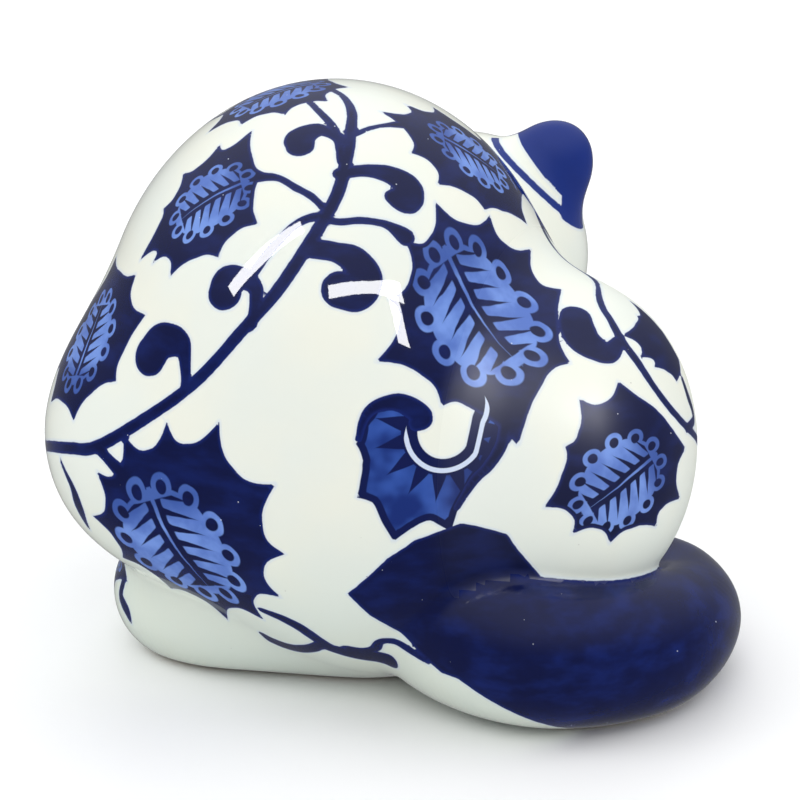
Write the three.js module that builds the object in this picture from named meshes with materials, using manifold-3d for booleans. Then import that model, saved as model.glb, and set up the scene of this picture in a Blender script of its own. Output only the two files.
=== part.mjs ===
// A slip-cast porcelain cat figurine: a chubby cat crouching with its tail round its right haunch.
//
// Millimetres, +Z up. The cat looks along -Y, its right side is -X, and it rests on the plane z = 0.
// Every casting is modelled as a distance field (ellipsoids and tapered tubes, blended smoothly).
// A sphere or capsule is wrapped onto the field's surface, and neighbours are then cut apart so that
// the castings meet with a luting gap between them.

import * as THREE from 'three';
import { mergeVertices } from 'three/addons/utils/BufferGeometryUtils.js';
import Module from 'manifold-3d';

const wasm = await Module();
wasm.setup();

// ---------------------------------------------------------------- driving dimensions

const LUTING_GAP = 0.3;
const BODY_WALL = 4;
const HEAD_WALL = 3.5;
const VENT_RADIUS = 5;
const NECK_RADIUS = 10;
const NECK_LENGTH = 40;
// Longer than the figurine, for cutting blocks and for searching outwards from its middle.
const REACH = 160;
const WHITE_GLAZE = 0xeff1e4;
const COBALT_GLAZE = 0x1b2552;

// Ellipsoids: centre, half-sizes, and an optional lean about the Y axis in degrees.
const TORSO = { centre: [11, -2, 49.5], radii: [37, 42, 43] };
const RUMP = { centre: [1.5, 1, 33], radii: [37, 37, 35] };
const RIGHT_HAUNCH = { centre: [-28, 8, 38.5], radii: [20, 25, 26] };
const LEFT_HAUNCH = { centre: [32, 9, 38.5], radii: [23, 26, 23] };
const RUMP_BLEND = 12;
const HAUNCH_BLEND = 9;

// The head's pieces are placed from the plane that halves the head.
const HEAD_X = -2.5;
const SKULL = { centre: [0, -49, 53.5], radii: [22, 20, 21.5] };
const CHEEK = { centre: [10, -60, 47.5], radii: [9, 8, 8.5] };
const MUZZLE = { centre: [4.2, -66.5, 46], radii: [6, 5, 4.8] };
const CHIN = { centre: [0, -64.5, 41.5], radii: [6, 5, 4.5] };
const NOSE = { centre: [0, -70, 49.7], radii: [2.8, 2.2, 2] };
const EAR = { centre: [13.5, -49, 67.7], radii: [8, 6, 11], lean: 35 };
const CHEEK_BLEND = 6;
const MUZZLE_BLEND = 3;
const NOSE_BLEND = 1.5;

// Tapered tubes: each station is x, y, z and radius.
const TAIL = [
  [-3, 10, 20, 12],
  [-12, 19.5, 14.5, 13.4],
  [-26, 27, 13, 12.6],
  [-40.5, 18.5, 10.5, 11.2],
  [-46.3, 3, 8.8, 9.3],
  [-44, -10, 8, 8.4],
  [-38.5, -19, 7.5, 7.2],
];
const LEFT_HIND_FOOT = [
  [6, 10, 9, 9],
  [22, 14, 9.8, 9.5],
  [34.5, 7.5, 9.5, 10.8],
  [38, -6, 9, 9.5],
];
const RIGHT_HIND_FOOT = [
  [-18, -4, 9, 9],
  [-22, -12, 8.5, 8.5],
  [-23, -19, 7.5, 7],
];
// The paws are placed from their own middle plane, one on each side of it.
const PAWS_X = -1;
const FRONT_PAW = [
  [14, -22, 22, 10],
  [14, -34, 12, 9.5],
  [14, -44, 8.5, 8.5],
];

// How finely each surface is faceted: columns and rows of a wrapped sphere, and a tube's steps.
const BODY_GRID = [52, 34];
const HEAD_GRID = [40, 28];
const HOLLOW_GRID = [28, 18];
const EAR_GRID = [20, 14];
const TUBE_SIDES = 20;
const TUBE_STEPS_PER_STATION = 4;
const TUBE_END_RINGS = 5;
const HOLE_SIDES = 32;

// ---------------------------------------------------------------- distance fields

// The `side` of an ellipsoid or a tube is 1 as written and -1 mirrored in the plane x = `mirror`.
function ellipsoid({ centre, radii, lean = 0 }, side = 1, mirror = 0) {
  const middle = new THREE.Vector3(mirror + centre[0] * side, centre[1], centre[2]);
  const turn = new THREE.Quaternion().setFromAxisAngle(
    new THREE.Vector3(0, 1, 0), THREE.MathUtils.degToRad(-lean * side));
  const size = new THREE.Vector3(...radii);
  const local = new THREE.Vector3();
  return (point) => {
    local.copy(point).sub(middle).applyQuaternion(turn).divide(size);
    const scaled = local.length();
    return scaled * (scaled - 1) / (local.divide(size).length() + 1e-9);
  };
}

// The union of two fields, with a fillet about `blend` wide where they meet.
function join(first, second, blend) {
  return (point) => {
    const a = first(point);
    const b = second(point);
    const overlap = Math.max(blend - Math.abs(a - b), 0) / blend;
    return Math.min(a, b) - overlap * overlap * blend / 4;
  };
}

function joinPair(base, part, blend, mirror) {
  return join(join(base, ellipsoid(part, 1, mirror), blend), ellipsoid(part, -1, mirror), blend);
}

function bodyField() {
  const barrel = join(ellipsoid(TORSO), ellipsoid(RUMP), RUMP_BLEND);
  const oneHaunch = join(barrel, ellipsoid(RIGHT_HAUNCH), HAUNCH_BLEND);
  return join(oneHaunch, ellipsoid(LEFT_HAUNCH), HAUNCH_BLEND);
}

function headField() {
  const cheeks = joinPair(ellipsoid(SKULL, 1, HEAD_X), CHEEK, CHEEK_BLEND, HEAD_X);
  const muzzle = joinPair(cheeks, MUZZLE, MUZZLE_BLEND, HEAD_X);
  const chin = join(muzzle, ellipsoid(CHIN, 1, HEAD_X), MUZZLE_BLEND);
  return join(chin, ellipsoid(NOSE, 1, HEAD_X), NOSE_BLEND);
}

// ---------------------------------------------------------------- solids

function toSolid(geometry) {
  geometry.deleteAttribute('normal');
  geometry.deleteAttribute('uv');
  const merged = mergeVertices(geometry, 1e-4);
  return new wasm.Manifold(new wasm.Mesh({
    numProp: 3,
    vertProperties: new Float32Array(merged.getAttribute('position').array),
    triVerts: new Uint32Array(merged.getIndex().array),
  }));
}

// How far from `origin` the field reaches `level`, found by halving. Each field here is seen whole
// from its centre, so there is one crossing along every direction.
function distanceTo(field, origin, direction, level) {
  const point = new THREE.Vector3();
  let near = 0;
  let far = REACH;
  while (far - near > 1e-3) {
    const middle = (near + far) / 2;
    point.copy(direction).multiplyScalar(middle).add(origin);
    if (field(point) < level) {
      near = middle;
    } else {
      far = middle;
    }
  }
  return near;
}

// A sphere wrapped onto the surface where the field equals `level`.
function wrapped(field, centre, level, grid) {
  const geometry = new THREE.SphereGeometry(1, ...grid);
  geometry.rotateX(Math.PI / 2);
  const origin = new THREE.Vector3(...centre);
  const position = geometry.getAttribute('position');
  const direction = new THREE.Vector3();
  for (let i = 0; i < position.count; i += 1) {
    direction.fromBufferAttribute(position, i).normalize();
    direction.multiplyScalar(distanceTo(field, origin, direction, level)).add(origin);
    position.setXYZ(i, direction.x, direction.y, direction.z);
  }
  return toSolid(geometry);
}

// A capsule bent along the stations' curve, with their radii grown by `grow`.
function taperedTube(stations, grow = 0, side = 1, mirror = 0) {
  const centres = stations.map(([x, y, z]) => new THREE.Vector3(mirror + x * side, y, z));
  const radii = stations.map(([, , , radius]) => new THREE.Vector3(radius + grow, 0, 0));
  const path = new THREE.CatmullRomCurve3(centres, false, 'catmullrom', 0.5);
  const girth = new THREE.CatmullRomCurve3(radii, false, 'catmullrom', 0.5);
  const steps = TUBE_STEPS_PER_STATION * (stations.length - 1);
  const geometry = new THREE.CapsuleGeometry(1, 1, TUBE_END_RINGS, TUBE_SIDES, steps);
  const position = geometry.getAttribute('position');
  const up = new THREE.Vector3(0, 0, 1);
  for (let i = 0; i < position.count; i += 1) {
    const along = position.getY(i);
    const t = THREE.MathUtils.clamp(along + 0.5, 0, 1);
    const beyond = along - (t - 0.5);
    const radius = girth.getPoint(t).x;
    const tangent = path.getTangent(t);
    const across = new THREE.Vector3().crossVectors(tangent, up).normalize();
    const over = new THREE.Vector3().crossVectors(across, tangent);
    const point = path.getPoint(t)
      .addScaledVector(tangent, beyond * radius)
      .addScaledVector(across, position.getX(i) * radius)
      .addScaledVector(over, position.getZ(i) * radius);
    position.setXYZ(i, point.x, point.y, point.z);
  }
  return toSolid(geometry);
}

// Everything above the height `floor`, wide enough for the whole figurine.
function above(floor) {
  const block = new THREE.BoxGeometry(2 * REACH, 2 * REACH, REACH);
  block.translate(0, 0, floor + REACH / 2);
  return toSolid(block);
}

function ventHole() {
  const [x, y] = RUMP.centre;
  const hole = new THREE.CylinderGeometry(VENT_RADIUS, VENT_RADIUS, 4 * BODY_WALL, HOLE_SIDES);
  hole.rotateX(Math.PI / 2);
  hole.translate(x, y, 0);
  return toSolid(hole);
}

function neckOpening() {
  const [, y, z] = SKULL.centre;
  const hole = new THREE.CylinderGeometry(NECK_RADIUS, NECK_RADIUS, NECK_LENGTH, HOLE_SIDES);
  hole.translate(HEAD_X, y + NECK_LENGTH / 2, z);
  return toSolid(hole);
}

// ---------------------------------------------------------------- castings

const ground = above(0);
const bodyCentre = [4, 0, 40];
const bodyOutside = wrapped(bodyField(), bodyCentre, 0, BODY_GRID);
const bodyClearance = wrapped(bodyField(), bodyCentre, LUTING_GAP, BODY_GRID);
const headCentre = [HEAD_X, SKULL.centre[1], SKULL.centre[2]];
const headOutside = wrapped(headField(), headCentre, 0, HEAD_GRID);
const headClearance = wrapped(headField(), headCentre, LUTING_GAP, HEAD_GRID);
const tailClearance = taperedTube(TAIL, LUTING_GAP);
const rightFootClearance = taperedTube(RIGHT_HIND_FOOT, LUTING_GAP);

function bodyShell() {
  const inside = wrapped(bodyField(), bodyCentre, -BODY_WALL, HOLLOW_GRID);
  const hollow = inside.intersect(above(BODY_WALL));
  return bodyOutside.intersect(ground).subtract(hollow).subtract(ventHole()).subtract(neckOpening());
}

function headShell() {
  const hollow = wrapped(headField(), headCentre, -HEAD_WALL, HOLLOW_GRID);
  return headOutside.subtract(hollow).subtract(bodyClearance);
}

function ear(side) {
  const [x, y, z] = EAR.centre;
  const whole = wrapped(ellipsoid(EAR, side, HEAD_X), [HEAD_X + x * side, y, z], 0, EAR_GRID);
  return whole.subtract(headClearance);
}

function tail() {
  return taperedTube(TAIL).intersect(ground).subtract(bodyClearance);
}

function leftHindFoot() {
  return taperedTube(LEFT_HIND_FOOT).intersect(ground).subtract(bodyClearance);
}

function rightHindFoot() {
  const whole = taperedTube(RIGHT_HIND_FOOT).intersect(ground);
  return whole.subtract(bodyClearance).subtract(tailClearance);
}

function frontPaw(side) {
  const whole = taperedTube(FRONT_PAW, 0, side, PAWS_X).intersect(ground);
  return whole.subtract(bodyClearance).subtract(rightFootClearance);
}

// ---------------------------------------------------------------- finishes and assembly

function glaze(colour) {
  return new THREE.MeshStandardMaterial({ color: colour, roughness: 0.12, metalness: 0 });
}

function toMesh(name, solid, colour) {
  const { vertProperties, triVerts } = solid.getMesh();
  const geometry = new THREE.BufferGeometry();
  geometry.setAttribute('position', new THREE.BufferAttribute(new Float32Array(vertProperties), 3));
  geometry.setIndex(new THREE.BufferAttribute(new Uint32Array(triVerts), 1));
  geometry.computeVertexNormals();
  const mesh = new THREE.Mesh(geometry, glaze(colour));
  mesh.name = name;
  return mesh;
}

const group = new THREE.Group();
group.add(
  toMesh('body_shell', bodyShell(), WHITE_GLAZE),
  toMesh('head_shell', headShell(), WHITE_GLAZE),
  toMesh('left_ear', ear(1), COBALT_GLAZE),
  toMesh('right_ear', ear(-1), COBALT_GLAZE),
  toMesh('tail', tail(), COBALT_GLAZE),
  toMesh('left_hind_foot', leftHindFoot(), WHITE_GLAZE),
  toMesh('right_hind_foot', rightHindFoot(), WHITE_GLAZE),
  toMesh('left_front_paw', frontPaw(1), WHITE_GLAZE),
  toMesh('right_front_paw', frontPaw(-1), WHITE_GLAZE),
);

// The origin is on the ground, under the middle of the whole figurine.
const middle = new THREE.Box3().setFromObject(group).getCenter(new THREE.Vector3());
group.position.set(-middle.x, -middle.y, 0);

export default group;
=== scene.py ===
"""A porcelain cat figurine, painted in cobalt blue under a clear glaze.

The castings are one smooth surface on the real object, because slip fills the joints and the glaze
runs over them. So the surface is made once, from a distance field, and then split into one closed
piece for each CAD casting. The painting is a signed distance, stored on the surface in millimetres.

Lengths are in millimetres in the cat's own axes (it looks along -Y, up is +Z, its right is -X) until
to_row() turns them into the frame's metres.
"""

import math

import bpy
import numpy as np
from mathutils import Matrix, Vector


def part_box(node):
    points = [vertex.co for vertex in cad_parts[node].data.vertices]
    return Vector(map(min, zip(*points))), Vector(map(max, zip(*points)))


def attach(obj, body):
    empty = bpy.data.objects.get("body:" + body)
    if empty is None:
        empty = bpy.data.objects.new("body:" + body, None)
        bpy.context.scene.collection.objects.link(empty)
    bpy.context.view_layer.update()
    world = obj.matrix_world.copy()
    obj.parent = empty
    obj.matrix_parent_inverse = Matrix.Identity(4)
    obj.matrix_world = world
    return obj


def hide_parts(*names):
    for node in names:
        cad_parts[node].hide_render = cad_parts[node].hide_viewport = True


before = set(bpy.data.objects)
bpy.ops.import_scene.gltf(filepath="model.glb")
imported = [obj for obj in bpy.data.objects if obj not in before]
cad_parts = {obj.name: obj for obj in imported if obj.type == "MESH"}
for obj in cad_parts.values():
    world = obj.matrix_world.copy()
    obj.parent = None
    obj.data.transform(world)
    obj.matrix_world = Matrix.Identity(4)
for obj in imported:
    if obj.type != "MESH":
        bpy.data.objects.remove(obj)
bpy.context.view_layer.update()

MM = 0.001
UP = np.array([0.0, 0.0, 1.0])

# ---------------- the castings' distance fields

# Ellipsoids: centre, half-sizes, lean about the Y axis in degrees.
TORSO = ((11, -2, 49.5), (37, 42, 43), 0)
RUMP = ((1.5, 1, 33), (37, 37, 35), 0)
RIGHT_HAUNCH = ((-28, 8, 38.5), (20, 25, 26), 0)
LEFT_HAUNCH = ((32, 9, 38.5), (23, 26, 23), 0)

# The fillets between the ellipsoids of one casting.
RUMP_BLEND = 12
HAUNCH_BLEND = 9
CHEEK_BLEND = 6
MUZZLE_BLEND = 3
EYE_BLEND = 3
CHIN_BLEND = 2
NOSE_BLEND = 1.5
EAR_BLEND = 1.5

# The head's pieces are placed from the plane x = HEAD_X that halves it.
HEAD_X = -2.5
SKULL = ((0, -49, 53.5), (22, 20, 21.5), 0)
CHEEK = ((10, -60, 47.5), (9, 8, 8.5), 0)
MUZZLE = ((4.2, -66.5, 46), (6, 5, 4.8), 0)
CHIN = ((0, -64.5, 41.5), (6, 5, 4.5), 0)
NOSE = ((0, -70, 49.7), (2.8, 2.2, 2), 0)
EAR = ((13.5, -49, 67.7), (8, 6, 11), 35)
EAR_HOLLOW = ((13.2, -56.5, 67.7), (5.4, 5, 8), 35)
EYE_SOCKET = ((8.6, -70.5, 56.5), (5, 4, 4.4), 0)

# Tapered tubes: stations of x, y, z and radius.
TAIL = (
    (-3, 10, 20, 12),
    (-12, 19.5, 14.5, 13.4),
    (-26, 27, 13, 12.6),
    (-40.5, 18.5, 10.5, 11.2),
    (-46.3, 3, 8.8, 9.3),
    (-44, -10, 8, 8.4),
    (-38.5, -19, 7.5, 7.2),
)
LEFT_HIND_FOOT = ((6, 10, 9, 9), (22, 14, 9.8, 9.5), (34.5, 7.5, 9.5, 10.8), (38, -6, 9, 9.5))
RIGHT_HIND_FOOT = ((-18, -4, 9, 9), (-22, -12, 8.5, 8.5), (-23, -19, 7.5, 7))

# The front paws are placed from the plane x = PAWS_X between them.
PAWS_X = -1
PAW_OUT = 14
FRONT_PAW = ((PAW_OUT, -22, 22, 10), (PAW_OUT, -34, 12, 9.5), (PAW_OUT, -44, 8.5, 8.5))

# The grooves between a front paw's toes: their places across it, and the y, z and radius of each end.
GROOVES = (-2.8, 2.8)
GROOVE_TOP = (-52, 13, 0.8)
GROOVE_TOE = (-54, 1, 1.2)
GROOVES_CLOSE_IN = 0.9
GROOVE_BLEND = 1.5

VENT = (1.5, 1, 5)
BASE_ROUNDING = 1.6

# A tube is measured in straight steps, so many to a span, and in fine ones within TUBE_NEAR of it.
TUBE_STEPS = 1
TUBE_FINE_STEPS = 20
TUBE_NEAR = 9

# Points are measured this many at a time, to keep the arrays small.
BLOCK = 2000


def ellipsoid(points, part, side=1, mirror=0.0):
    """Distance to an ellipsoid, as written for side 1 and mirrored in x = mirror for side -1."""
    (x, y, z), radii, lean = part
    local = points - np.array((mirror + x * side, y, z))
    if lean:
        turn = math.radians(lean * side)
        cos, sin = math.cos(turn), math.sin(turn)
        across = cos * local[:, 0] - sin * local[:, 2]
        upward = sin * local[:, 0] + cos * local[:, 2]
        local = np.column_stack((across, local[:, 1], upward))
    local = local / np.array(radii, float)
    scaled = np.linalg.norm(local, axis=1)
    return scaled * (scaled - 1) / (np.linalg.norm(local / np.array(radii, float), axis=1) + 1e-9)


def spline(stations, steps):
    """Points on the Catmull-Rom curve through the stations, with `steps` to a span."""
    known = np.array(stations, float)
    known = np.vstack((2 * known[0] - known[1], known, 2 * known[-1] - known[-2]))
    t = np.linspace(0, 1, steps, endpoint=False)[:, None]
    spans = []
    for a, b, c, d in zip(known[:-3], known[1:-2], known[2:-1], known[3:]):
        bend = 2 * a - 5 * b + 4 * c - d
        spans.append(0.5 * (2 * b + (c - a) * t + bend * t**2 + (3 * b - a - 3 * c + d) * t**3))
    return np.vstack(spans + [known[-2:-1]])


def tube(points, stations, side=1, mirror=0.0):
    """Distance to a tapered tube along the stations, which is exact only near the tube."""
    nearest = chain(points, stations, side, mirror, TUBE_STEPS)
    close = nearest < TUBE_NEAR
    nearest[close] = chain(points[close], stations, side, mirror, TUBE_FINE_STEPS)
    return nearest


def chain(points, stations, side, mirror, steps):
    """Distance to a row of tapered capsules along the curve through the stations."""
    path = spline(stations, steps)
    path[:, 0] = mirror + path[:, 0] * side
    start = path[:-1, :3]
    along = np.diff(path[:, :3], axis=0)
    radius = path[:-1, 3]
    taper = np.diff(path[:, 3])
    along_squared = (along * along).sum(axis=1)
    ahead = (start * along).sum(axis=1)
    nearest = np.empty(len(points))
    for first in range(0, len(points), BLOCK):
        block = points[first : first + BLOCK]
        t = np.clip((block @ along.T - ahead) / along_squared, 0, 1)
        offset = block[:, None] - start - t[..., None] * along
        reach = np.sqrt(np.einsum("ijk,ijk->ij", offset, offset)) - radius - t * taper
        nearest[first : first + BLOCK] = reach.min(axis=1)
    return nearest


def capsule(points, start, end, start_radius, end_radius):
    """Distance to a tapered capsule, in space or in the plane."""
    along = end - start
    t = np.clip((points - start) @ along / (along @ along), 0, 1)
    gap = points - start - t[:, None] * along
    return np.sqrt((gap * gap).sum(axis=1)) - (start_radius + t * (end_radius - start_radius))


def join(a, b, blend):
    """The union of two distances, with a fillet about `blend` wide."""
    overlap = np.maximum(blend - np.abs(a - b), 0) / blend
    return np.minimum(a, b) - overlap * overlap * blend / 4


def carve(a, b, blend):
    """The part of `a` that is outside `b`, with a rounded edge."""
    return -join(-a, b, blend)


def join_pair(field, points, part, blend, mirror):
    """Joins an ellipsoid and its mirror image to the field."""
    for side in (1, -1):
        field = join(field, ellipsoid(points, part, side, mirror), blend)
    return field


def body_field(points):
    field = join(ellipsoid(points, TORSO), ellipsoid(points, RUMP), RUMP_BLEND)
    field = join(field, ellipsoid(points, RIGHT_HAUNCH), HAUNCH_BLEND)
    return join(field, ellipsoid(points, LEFT_HAUNCH), HAUNCH_BLEND)


def head_field(points):
    field = ellipsoid(points, SKULL, 1, HEAD_X)
    field = join_pair(field, points, CHEEK, CHEEK_BLEND, HEAD_X)
    field = join_pair(field, points, MUZZLE, MUZZLE_BLEND, HEAD_X)
    for side in (1, -1):
        field = carve(field, ellipsoid(points, EYE_SOCKET, side, HEAD_X), EYE_BLEND)
    field = join(field, ellipsoid(points, CHIN, 1, HEAD_X), CHIN_BLEND)
    return join(field, ellipsoid(points, NOSE, 1, HEAD_X), NOSE_BLEND)


def ear_field(points, side):
    ear = ellipsoid(points, EAR, side, HEAD_X)
    return carve(ear, ellipsoid(points, EAR_HOLLOW, side, HEAD_X), EAR_BLEND)


def front_paw_field(points, side):
    """A foreleg with two grooves between its toes."""
    paw = tube(points, FRONT_PAW, side, PAWS_X)
    middle = PAWS_X + side * PAW_OUT
    for offset in GROOVES:
        top = np.array((middle + offset, *GROOVE_TOP[:2]))
        toe = np.array((middle + offset * GROOVES_CLOSE_IN, *GROOVE_TOE[:2]))
        groove = capsule(points, top, toe, GROOVE_TOP[2], GROOVE_TOE[2])
        paw = carve(paw, groove, GROOVE_BLEND)
    return paw


# Each casting: its CAD node, its finish, its field, the fillet where it joins those listed before it,
# and the thickness of its wall.
CASTINGS = (
    ("body_shell", "white_glaze", body_field, 0, 3.5),
    ("head_shell", "white_glaze", head_field, 8, 3),
    ("left_hind_foot", "white_glaze", lambda p: tube(p, LEFT_HIND_FOOT), 5, 2.5),
    ("right_hind_foot", "white_glaze", lambda p: tube(p, RIGHT_HIND_FOOT), 5, 2.5),
    ("tail", "cobalt_glaze", lambda p: tube(p, TAIL), 2, 3),
    ("left_ear", "cobalt_glaze", lambda p: ear_field(p, 1), 4, 1.5),
    ("right_ear", "cobalt_glaze", lambda p: ear_field(p, -1), 4, 1.5),
    ("left_front_paw", "white_glaze", lambda p: front_paw_field(p, 1), 4, 2.5),
    ("right_front_paw", "white_glaze", lambda p: front_paw_field(p, -1), 4, 2.5),
)


def cat_field(points):
    field = None
    for _, _, casting, blend, _ in CASTINGS:
        distance = casting(points)
        field = distance if field is None else join(field, distance, blend)
    return carve(field, points[:, 2], BASE_ROUNDING)


def gradient(field, points, step=0.25):
    slope = np.empty_like(points)
    for axis in range(3):
        shift = np.zeros(3)
        shift[axis] = step
        slope[:, axis] = (field(points + shift) - field(points - shift)) / (2 * step)
    return slope


def unit(vectors):
    return vectors / (np.linalg.norm(vectors, axis=-1, keepdims=True) + 1e-12)


# How far a point may move at a time, and the least square of a slope, for points in creases.
LONGEST_MOVE = 1.5
LEAST_SLOPE = 0.05


def settle(points, rounds):
    """Moves points along the field's slope onto the surface."""
    step = 0.1
    for _ in range(rounds):
        here = cat_field(points)
        slope = np.column_stack([(cat_field(points + shift) - here) / step for shift in np.eye(3) * step])
        reach = np.maximum((slope * slope).sum(axis=1), LEAST_SLOPE)
        points = points - np.clip(here / reach, -LONGEST_MOVE, LONGEST_MOVE)[:, None] * slope
    return points


# ---------------- the surface as one mesh of quads

GRID_LOW = np.array((-58.0, -76.0, -2.0))
GRID_HIGH = np.array((58.0, 44.0, 96.0))
GRID_STEP = 1.25

# How far a vertex goes towards its neighbours' middle, and the height that only the flat base is below.
EVENING = 0.6
BASE_TOP = 0.4


def sample_grid():
    """The field on a grid. Away from the surface it is only estimated, from a coarser grid."""
    counts = np.ceil((GRID_HIGH - GRID_LOW) / GRID_STEP).astype(int)
    axes = [GRID_LOW[a] + GRID_STEP * np.arange(counts[a]) for a in range(3)]
    coarse = 4
    rough_axes = [GRID_LOW[a] + GRID_STEP * coarse * np.arange(-(-counts[a] // coarse)) for a in range(3)]
    rough_points = np.stack(np.meshgrid(*rough_axes, indexing="ij"), -1).reshape(-1, 3)
    rough = cat_field(rough_points + GRID_STEP * (coarse - 1) / 2)
    rough = rough.reshape([len(a) for a in rough_axes])
    for axis in range(3):
        rough = np.repeat(rough, coarse, axis=axis)
    values = rough[: counts[0], : counts[1], : counts[2]].copy()
    near = np.abs(values) < GRID_STEP * coarse * 2
    points = np.stack(np.meshgrid(*axes, indexing="ij"), -1)[near]
    values[near] = cat_field(points)
    return values


def surface_net(values):
    """One vertex for each grid cell that the surface crosses, and a quad round each crossed edge."""
    inside = values < 0
    shape = tuple(n - 1 for n in values.shape)
    counted = np.zeros(shape, int)
    for i, j, k in np.ndindex(2, 2, 2):
        counted += inside[i : i + shape[0], j : j + shape[1], k : k + shape[2]]
    crossed = (counted > 0) & (counted < 8)
    number = np.full(shape, -1)
    number[crossed] = np.arange(crossed.sum())
    vertices = GRID_LOW + GRID_STEP * (np.argwhere(crossed) + 0.5)
    quads = []
    for axis in range(3):
        b, c = (axis + 1) % 3, (axis + 2) % 3
        before = np.take(inside, range(0, inside.shape[axis] - 1), axis)
        after = np.take(inside, range(1, inside.shape[axis]), axis)
        edges = np.argwhere(before != after)
        edges = edges[(edges[:, b] > 0) & (edges[:, c] > 0)]
        starts_inside = before[tuple(edges.T)]
        ring = []
        for step_b, step_c in ((-1, -1), (0, -1), (0, 0), (-1, 0)):
            cell = edges.copy()
            cell[:, b] += step_b
            cell[:, c] += step_c
            ring.append(number[tuple(cell.T)])
        ring = np.column_stack(ring)
        ring[~starts_inside] = ring[~starts_inside][:, ::-1]
        quads.append(ring)
    return vertices, np.vstack(quads)


def edges_of(quads):
    """The mesh's distinct edges, and for each quad the numbers of its four edges."""
    pairs = np.stack([quads, np.roll(quads, -1, axis=1)], -1).reshape(-1, 2)
    edges, which = np.unique(np.sort(pairs, axis=1), axis=0, return_inverse=True)
    return edges, which.reshape(-1, 4)


def relax(vertices, quads, rounds):
    """Evens out the quads: each vertex moves towards its neighbours' middle, then back to the surface."""
    edges, _ = edges_of(quads)
    for _ in range(rounds):
        total = np.zeros_like(vertices)
        count = np.zeros(len(vertices))
        for a, b in ((0, 1), (1, 0)):
            np.add.at(total, edges[:, a], vertices[edges[:, b]])
            np.add.at(count, edges[:, a], 1)
        vertices = settle((1 - EVENING) * vertices + EVENING * total / count[:, None], 1)
    return vertices


def subdivide(vertices, quads):
    """Splits each quad into four, with the new vertices on the surface. Also returns the numbers of
    the vertices halfway along each quad's edges."""
    edges, quad_edges = edges_of(quads)
    middles = vertices[edges].mean(axis=1)
    centres = vertices[quads].mean(axis=1)
    middle_at = len(vertices) + quad_edges
    centre_at = len(vertices) + len(edges) + np.arange(len(quads))
    fine = [
        np.column_stack((quads[:, i], middle_at[:, i], centre_at, middle_at[:, i - 1]))
        for i in range(4)
    ]
    new = settle(np.vstack((middles, centres)), 2)
    return np.vstack((vertices, new)), np.stack(fine, 1).reshape(-1, 4), middle_at


def cut_vent(vertices, quads):
    """The numbers of the quads over the vent hole, whose border is first drawn onto a circle."""
    x, y, radius = VENT
    middles = vertices[quads].mean(axis=1)
    open_quads = (middles[:, 2] < BASE_TOP) & (np.hypot(middles[:, 0] - x, middles[:, 1] - y) < radius)
    border = np.intersect1d(quads[open_quads], quads[~open_quads])
    spokes = unit(vertices[border, :2] - (x, y))
    vertices[border, :2] = np.array((x, y)) + radius * spokes
    return open_quads


def patches(labels, neighbours):
    """A number for each unbroken patch of quads with one label."""
    joined = neighbours[labels[neighbours[:, 0]] == labels[neighbours[:, 1]]]
    patch = np.arange(len(labels))
    while True:
        lowest = patch.copy()
        np.minimum.at(lowest, joined[:, 0], patch[joined[:, 1]])
        np.minimum.at(lowest, joined[:, 1], patch[joined[:, 0]])
        lowest = lowest[lowest]
        if np.array_equal(lowest, patch):
            return patch
        patch = lowest


def castings_of(vertices, quads):
    """The number of each quad's casting, with every casting in one patch, and -1 over the vent."""
    open_quads = cut_vent(vertices, quads)
    middles = vertices[quads].mean(axis=1)
    labels = np.argmin([casting(middles) for _, _, casting, _, _ in CASTINGS], axis=0)
    labels[open_quads] = -1
    _, quad_edges = edges_of(quads)
    order = np.argsort(quad_edges.ravel(), kind="stable")
    in_order = quad_edges.ravel()[order]
    twins = in_order[:-1] == in_order[1:]
    neighbours = np.column_stack((order[:-1][twins], order[1:][twins])) // 4
    patch = patches(labels, neighbours)
    strays = np.zeros(len(quads), bool)
    for number in range(len(CASTINGS)):
        own, sizes = np.unique(patch[labels == number], return_counts=True)
        strays |= (labels == number) & (patch != own[np.argmax(sizes)])
    while strays.any():
        for a, b in (neighbours.T, neighbours.T[::-1]):
            taken = strays[a] & ~strays[b] & (labels[b] >= 0)
            labels[a[taken]] = labels[b[taken]]
            strays[a[taken]] = False
    return labels


def inner_wall(vertices, quads, labels):
    """Where each vertex of the outside is on the inside of the casting."""
    wall = np.full(len(vertices), np.inf)
    for number, (_, _, _, _, thickness) in enumerate(CASTINGS):
        np.minimum.at(wall, quads[labels == number], thickness)
    wall[np.isinf(wall)] = 0
    steps = 4
    for _ in range(steps):
        vertices = vertices - unit(gradient(cat_field, vertices)) * wall[:, None] / steps
    return vertices


# ---------------- places on the surface

HUB = np.array((4.0, 0.0, 42.0))

# This far from HUB, or from y = 0, is outside the cat. A ray is probed at this many places, and the
# surface is then found by halving.
OUTSIDE = 95
PROBES = 61
HALVINGS = 12


def heading(lon, lat):
    """The unit direction from HUB: longitude 0 is the rump, 90 the cat's right, latitude 90 is up."""
    lon, lat = math.radians(lon), math.radians(lat)
    return np.array((-math.sin(lon) * math.cos(lat), math.cos(lon) * math.cos(lat), math.sin(lat)))


def cast(starts, ways, length=90.0):
    """Where rays from outside the cat first meet it."""
    steps = np.linspace(0, length, PROBES)
    probes = starts[:, None] + steps[:, None] * ways[:, None]
    first = (cat_field(probes.reshape(-1, 3)).reshape(-1, len(steps)) < 0).argmax(axis=1)
    low, high = steps[first - 1], steps[first]
    for _ in range(HALVINGS):
        middle = (low + high) / 2
        inside = cat_field(starts + middle[:, None] * ways) < 0
        low, high = np.where(inside, low, middle), np.where(inside, middle, high)
    return starts + high[:, None] * ways


def on_surface(directions):
    """Where rays from HUB leave the cat."""
    return cast(HUB + OUTSIDE * directions, -directions)


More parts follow.
